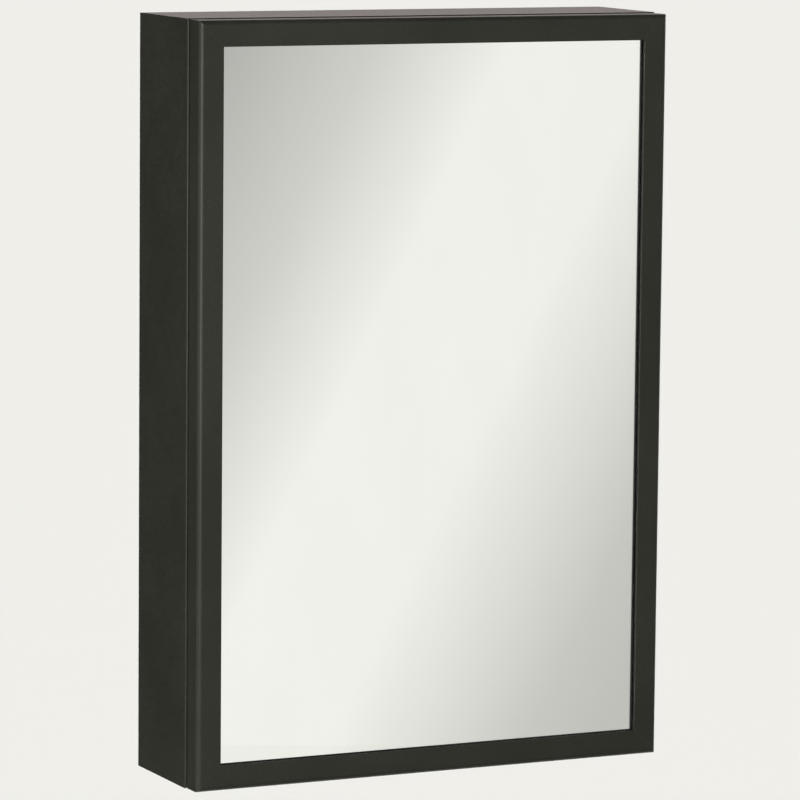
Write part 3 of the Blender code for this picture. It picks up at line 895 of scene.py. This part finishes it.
# ---- hinges ---------------------------------------------------------------------------------------------


def make_leaf(node, hinge, own, others):
    """A leaf with its rolled knuckles, its screw holes and room for the other leaf's knuckles."""
    axis = middle(f"{hinge}_pin")
    height = size(node).z
    width = axis.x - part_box(node)[0].x
    leaf = prism([rounded([
        (-width, -height / 2, LEAF_CORNER),
        (0, -height / 2, 0),
        (0, height / 2, 0),
        (-width, height / 2, LEAF_CORNER),
    ])], LEAF_THICKNESS)
    side, way = ("case", 1) if "case" in node else ("door", -1)
    laid(leaf, axis + TO_WALL * way * (LEAF_OFFSET + LEAF_THICKNESS / 2), TO_ROOM)
    pitch = (height + KNUCKLE_GAP) / KNUCKLES
    places = [axis + UP * (number - (KNUCKLES - 1) / 2) * pitch for number in range(KNUCKLES)]
    room = pitch + KNUCKLE_GAP
    rooms = [laid(cylinder(KNUCKLE_ROOM, room), places[number]) for number in others]
    leaf = carved(leaf, together(rooms))
    for number in own:
        roll = arrised(cylinder(KNUCKLE_RADIUS, pitch - KNUCKLE_GAP), KNUCKLE_ARRIS)
        leaf = carved(leaf, laid(roll, places[number]), "UNION")
    leaf = carved(leaf, laid(cylinder(PIN_BORE, 2 * height), axis))
    screws = [f"{hinge}_{side}_screw_{place}" for place in ("upper", "lower")]
    leaf = carved(leaf, bores(screws, HEAD_CLEARANCE, 4 * LEAF_THICKNESS, TO_WALL))
    show(node, leaf, "zinc")


def make_pin(node):
    """A pin with a domed head at both ends."""
    half, head = size(node).z / 2, size(node).x / 2
    profile = [
        (0, half, 0),
        (head, half, 0.55 * MM),
        (head, half - PIN_CAP, 0.1 * MM),
        (PIN_SHANK, half - PIN_CAP, 0),
    ]
    below = [(x, -z, fillet) for x, z, fillet in reversed(profile)]
    show(node, laid(turned(profile + below), middle(node)), "zinc")


def make_hinges():
    odd, even = range(1, KNUCKLES, 2), range(0, KNUCKLES, 2)
    for hinge in ("upper_hinge", "lower_hinge"):
        make_leaf(f"{hinge}_case_leaf", hinge, even, odd)
        make_leaf(f"{hinge}_door_leaf", hinge, odd, even)
        make_pin(f"{hinge}_pin")
        for side, outward in (("case", TO_ROOM), ("door", TO_WALL)):
            for place in ("upper", "lower"):
                node = f"{hinge}_{side}_screw_{place}"
                low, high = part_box(node)
                at = middle(node)
                at.y = low.y if outward is TO_ROOM else high.y
                screw = countersunk(size(node).x / 2, *HINGE_SCREW, size(node).y)
                show(node, laid(screw, at, outward), "zinc")


# ---- catch, strike and bumpers --------------------------------------------------------------------------


def make_catch():
    """The catch's moulded housing, its upper half mirrored below, and its two screws."""
    front, rear = (corner.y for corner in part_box("catch_housing"))
    half = size("catch_housing").z / 2
    upper = [
        (rear, CATCH_BODY / 2, 1.5 * MM),
        (front + CATCH_EAR, CATCH_BODY / 2, 0.8 * MM),
        (front + CATCH_EAR, half, 1.0 * MM),
        (front, half, 0.6 * MM),
    ]
    profile = [(y, -z, fillet) for y, z, fillet in reversed(upper)] + upper
    housing = prism([rounded(profile)], size("catch_housing").x)
    housing.transform(Matrix.Rotation(math.pi / 2, 4, "Z") @ Matrix.Rotation(math.pi / 2, 4, "X"))
    housing = laid(housing, (middle("catch_housing").x, 0, 0))
    housing = arrised(housing, 0.5 * MM)
    screws = [f"catch_screw_{place}" for place in ("upper", "lower")]
    tools = together([magnet_window(), bores(screws, -SHANK_INSET, LONG_TOOL_LENGTH, TO_WALL)])
    show("catch_housing", carved(housing, tools), "plastic")
    height, shank = CATCH_SCREW
    for node in screws:
        at = middle(node)
        at.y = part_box(node)[1].y - height
        mesh = pan_head(size(node).x / 2, height, shank, size(node).y - height)
        show(node, laid(mesh, at, TO_WALL), "zinc")


def make_magnet():
    """A ferrite block between two steel pole plates that stand a little proud of it."""
    low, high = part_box("catch_magnet")
    core = block(low + Vector((POLE_PLATE, POLE_PROUD, 0)), high - Vector((POLE_PLATE, 0, 0)))
    left = block(low, (low.x + POLE_PLATE, high.y, high.z))
    right = block((high.x - POLE_PLATE, low.y, low.z), high)
    mesh = together([arrised(part, 0.2 * MM) for part in (core, left, right)])
    core_end = size("catch_magnet").x / 2 - POLE_PLATE + 0.001 * MM
    centre = middle("catch_magnet").x

    def is_plate(face):
        return abs(face.center.x - centre) > core_end

    show("catch_magnet", mesh, "ferrite", ["zinc"], is_plate)


def make_strike():
    node = "strike_plate"
    half = size(node) / 2
    plate = prism([rectangle(half.x, half.z, PANEL_CORNER)], size(node).y)
    laid(plate, middle(node), TO_ROOM)
    screws = [f"strike_screw_{place}" for place in ("upper", "lower")]
    plate = carved(plate, bores(screws, HEAD_CLEARANCE, TOOL_LENGTH, TO_WALL))
    show(node, arrised(plate, THIN_ARRIS), "zinc")
    for screw in screws:
        at = middle(screw)
        at.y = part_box(screw)[1].y
        mesh = countersunk(size(screw).x / 2, *STRIKE_SCREW, size(screw).y)
        show(screw, laid(mesh, at, TO_WALL), "zinc")


def make_bumpers():
    for node in ("door_bumper_upper", "door_bumper_lower"):
        radius, half = size(node).x / 2, size(node).y / 2
        dome, foot = 1.2 * MM, 0.1 * MM
        profile = [(0, half, 0), (radius, half, dome), (radius, -half, foot), (0, -half, 0)]
        show(node, laid(turned(profile), middle(node), TO_ROOM), "rubber")


def finish_hidden_pieces():
    """The corner keys and the core board keep their CAD shapes, inside the door."""
    for name, node in frame["nodes"].items():
        for start, finish in (("corner_key", "aluminium"), ("door_core_board", "board")):
            if name.startswith(start):
                node.data.materials.clear()
                node.data.materials.append(MATERIALS[finish])


# ---- camera, floor and light ----------------------------------------------------------------------------

CAMERA_AIM = Vector((-2.5 * MM, -60.5 * MM, -8.1 * MM))
CAMERA_AZIMUTH = math.radians(-25.39)
CAMERA_ELEVATION = math.radians(7.33)
CAMERA_ROLL = math.radians(0.54)
CAMERA_DISTANCE = 3.902
CAMERA_LENS = 216.6
CLIP_END = 400
FLOOR_HEIGHT = -1.4
FLOOR_WIDTH = 240
FLOOR_COLOUR = (0.95, 0.942, 0.909, 1)
BACKDROP = (239, 238, 234)
OVERHEAD = (75, 75, 74)
CARD_THICKNESS = 1 * MM
STRIP_PLACE = (-1.19, -1.41, 0.14)
STRIP_TARGET = (0, -0.06, 0)
STRIP_SIZE = (0.3, 0.5)
STRIP_POWER = 13
SUN_PLACE = (-5, -5, 7)
SUN_SPREAD = math.radians(50)
SUN_STRENGTH = 2.8

# The mirror's card, in metres. Its stops are places across its slanting shade and the grey levels there.
CARD_DISTANCE = 7
CARD_SIZE = (2.4, 1.8)
CARD_SLANT = 0.478
DARK_TO_LIGHT = [(-0.52, 178), (-0.28, 213), (-0.085, 249)]
LIGHT_TO_DARK = [(0.135, 249), (0.28, 229), (0.42, 206), (0.52, 199)]
CARD_FADE = 0.36  # how far the fade reaches in from the rim, as a share of the way to the middle


def make_camera():
    camera = bpy.data.objects.new("camera", bpy.data.cameras.new("camera"))
    bpy.context.scene.collection.objects.link(camera)
    camera.data.lens = CAMERA_LENS
    camera.data.clip_end = CLIP_END
    flat = math.cos(CAMERA_ELEVATION)
    back = Vector((
        math.sin(CAMERA_AZIMUTH) * flat,
        -math.cos(CAMERA_AZIMUTH) * flat,
        math.sin(CAMERA_ELEVATION),
    ))
    turn = (-back).to_track_quat("-Z", "Y").to_matrix() @ Matrix.Rotation(CAMERA_ROLL, 3, "Z")
    camera.matrix_world = Matrix.Translation(CAMERA_AIM + back * CAMERA_DISTANCE) @ turn.to_4x4()
    bpy.context.scene.camera = camera
    return camera.matrix_world.copy()


def flat_card(name, width, height, place, material):
    """A card in a matrix's XY plane, which isn't part of the cabinet."""
    mesh = prism([rectangle(width / 2, height / 2)], CARD_THICKNESS)
    mesh.materials.append(material)
    card = bpy.data.objects.new(name, mesh)
    card.matrix_world = place
    bpy.context.scene.collection.objects.link(card)
    return card


def show_only_in(card, sheen=False, mirror=False):
    """Hides a card from all but the coat's sheen, or from all but what the mirrors show."""
    card.visible_camera = False
    card.visible_diffuse = False
    card.visible_shadow = False
    card.visible_glossy = sheen
    card.visible_transmission = mirror


def glow(name, strength=1.0):
    """A material that only shines, and its colour socket."""
    material = bpy.data.materials.new(name)
    material.use_nodes = True
    tree = material.node_tree
    tree.nodes.remove(tree.nodes["Principled BSDF"])
    emission = tree.nodes.new("ShaderNodeEmission")
    emission.inputs["Strength"].default_value = strength
    tree.links.new(emission.outputs[0], tree.nodes["Material Output"].inputs["Surface"])
    return material, emission.inputs["Color"]


def graded(material, socket, stops, slant=0.0):
    """Shades a card between (metres, grey level) stops, along its X less the slant times its Y."""
    tree = material.node_tree
    place = tree.nodes.new("ShaderNodeTexCoord").outputs["Object"]
    across = tree.nodes.new("ShaderNodeVectorMath")
    across.operation = "DOT_PRODUCT"
    across.inputs[1].default_value = (1, -slant, 0)
    tree.links.new(place, across.inputs[0])
    share = tree.nodes.new("ShaderNodeMapRange")
    share.inputs["From Min"].default_value = stops[0][0]
    share.inputs["From Max"].default_value = stops[-1][0]
    tree.links.new(across.outputs["Value"], share.inputs["Value"])
    ramp = tree.nodes.new("ShaderNodeValToRGB")
    elements = ramp.color_ramp.elements
    span = stops[-1][0] - stops[0][0]
    for _ in stops[2:]:
        elements.new(0.5)
    for element, (at, level) in zip(elements, stops):
        element.position = (at - stops[0][0]) / span
        element.color = (linear(level), linear(level * 0.997), linear(level * 0.98), 1)
    tree.links.new(share.outputs["Result"], ramp.inputs["Fac"])
    tree.links.new(ramp.outputs["Color"], socket)


def faded(material, socket, width, height):
    """Blends a card's shade into the backdrop's tone towards its rim, so that a mirror shows no edge."""
    tree = material.node_tree
    place = tree.nodes.new("ShaderNodeTexCoord").outputs["Object"]
    scaled = tree.nodes.new("ShaderNodeMapping")
    scaled.inputs["Scale"].default_value = (2 / width, 2 / height, 0)
    tree.links.new(place, scaled.inputs["Vector"])
    inside = tree.nodes.new("ShaderNodeTexGradient")
    inside.gradient_type = "SPHERICAL"
    tree.links.new(scaled.outputs["Vector"], inside.inputs["Vector"])
    share = tree.nodes.new("ShaderNodeMapRange")
    share.interpolation_type = "SMOOTHSTEP"
    share.inputs["From Max"].default_value = CARD_FADE
    tree.links.new(inside.outputs["Fac"], share.inputs["Value"])
    blend = tree.nodes.new("ShaderNodeMix")
    blend.data_type = "RGBA"
    tree.links.new(share.outputs["Result"], blend.inputs["Factor"])
    colour_socket(blend.inputs, "A").default_value = colour(*BACKDROP)
    tree.links.new(socket.links[0].from_socket, colour_socket(blend.inputs, "B"))
    tree.links.new(colour_socket(blend.outputs, "Result"), socket)


def make_mirror_card(camera):
    """The shaded card that the mirror looks into: a light band on a slant between two greyer sides."""
    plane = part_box("mirror_glass")[0].y
    flip = Matrix.Translation((0, 2 * plane, 0)) @ Matrix.Diagonal((1, -1, 1, 1))
    seen = flip @ camera
    right, up, back = (seen.col[i].to_3d() for i in range(3))
    turn = Matrix((right, up, right.cross(up))).transposed().to_4x4()
    place = Matrix.Translation(seen.translation - back * CARD_DISTANCE) @ turn
    material, socket = glow("mirror_card")
    graded(material, socket, DARK_TO_LIGHT + LIGHT_TO_DARK, CARD_SLANT)
    faded(material, socket, *CARD_SIZE)
    card = flat_card("mirror_card", *CARD_SIZE, place, material)
    show_only_in(card, mirror=True)


def facing(at, target):
    """A placement at a point whose -Z looks at the target."""
    at = Vector(at)
    turn = (Vector(target) - at).to_track_quat("-Z", "Y").to_matrix().to_4x4()
    return Matrix.Translation(at) @ turn


def make_reflection_cards():
    """Cards for the coat's sheen: greys round the front, paler at its left, and a bright one behind.

    A card's shade is one colour, or a list of stops.
    """
    cards = (
        ("side_flag", (66, 66, 62), 1.0, (-0.95, 1.9, -0.1), (0, 0, 0), 2.4, 2.4),
        ("front_flag", [(-1.0, 245), (1.0, 85)], 1.3, (1.9, -4.2, 0.1), (0, 0, 0), 8.0, 2.6),
        ("upper_flag", (60, 60, 58), 1.0, (1.5, -3.6, 3.4), (0, 0, 0), 9.0, 4.0),
        ("floor_flag", (80, 80, 76), 1.0, (1.9, -3.4, -1.3), (1.9, -3.4, 0), 9.6, 6.2),
        ("rear_glow", (255, 240, 238), 1.5, (1.7, 3.6, 0.7), (0, 0, 0), 4.0, 1.9),
    )
    for name, shade, strength, at, target, width, height in cards:
        material, socket = glow(name, strength)
        if isinstance(shade, list):
            graded(material, socket, shade)
        else:
            socket.default_value = colour(*shade)
        card = flat_card(name, width, height, facing(at, target), material)
        show_only_in(card, sheen=True)


def make_strip():
    """An upright soft light at the left, whose streak runs down the door's round front edge."""
    light = bpy.data.lights.new("left_strip", "AREA")
    light.shape = "RECTANGLE"
    light.size, light.size_y = STRIP_SIZE
    light.energy = STRIP_POWER
    lamp = bpy.data.objects.new("left_strip", light)
    lamp.matrix_world = facing(STRIP_PLACE, STRIP_TARGET)
    lamp.visible_camera = False
    lamp.visible_transmission = False
    bpy.context.scene.collection.objects.link(lamp)


def make_floor():
    material = bpy.data.materials.new("pale_floor")
    material.use_nodes = True
    shader = material.node_tree.nodes["Principled BSDF"]
    shader.inputs["Base Color"].default_value = FLOOR_COLOUR
    shader.inputs["Roughness"].default_value = 1
    shader.inputs["Specular IOR Level"].default_value = 0
    flat_card("floor", FLOOR_WIDTH, FLOOR_WIDTH, Matrix.Translation((0, 0, FLOOR_HEIGHT)), material)


def make_world():
    """Even pale light from all round, darker overhead."""
    world = bpy.data.worlds.new("studio")
    bpy.context.scene.world = world
    world.use_nodes = True
    tree = world.node_tree
    direction = tree.nodes.new("ShaderNodeTexCoord").outputs["Generated"]
    height = tree.nodes.new("ShaderNodeSeparateXYZ")
    tree.links.new(direction, height.inputs[0])
    ramp = tree.nodes.new("ShaderNodeValToRGB")
    ramp.color_ramp.elements[0].position = 0.25
    ramp.color_ramp.elements[0].color = colour(*BACKDROP)
    ramp.color_ramp.elements[1].position = 0.75
    ramp.color_ramp.elements[1].color = colour(*OVERHEAD)
    tree.links.new(height.outputs["Z"], ramp.inputs["Fac"])
    tree.links.new(ramp.outputs["Color"], tree.nodes["Background"].inputs["Color"])


def make_sun():
    sun = bpy.data.lights.new("soft_sun", "SUN")
    sun.energy = SUN_STRENGTH
    sun.angle = SUN_SPREAD
    lamp = bpy.data.objects.new("soft_sun", sun)
    lamp.matrix_world = facing(SUN_PLACE, (0, 0, 0))
    lamp.visible_glossy = False
    bpy.context.scene.collection.objects.link(lamp)


def make_studio():
    bpy.context.scene.view_settings.view_transform = "Standard"
    camera = make_camera()
    make_mirror_card(camera)
    make_reflection_cards()
    make_floor()
    make_world()
    make_sun()
    make_strip()


make_case()
make_back()
make_shelves()
make_door_frame()
make_gasket()
make_mirror("mirror_glass", TO_ROOM)
make_mirror("door_inner_mirror", TO_WALL)
make_hinges()
make_catch()
make_magnet()
make_strike()
make_bumpers()
finish_hidden_pieces()
make_studio()
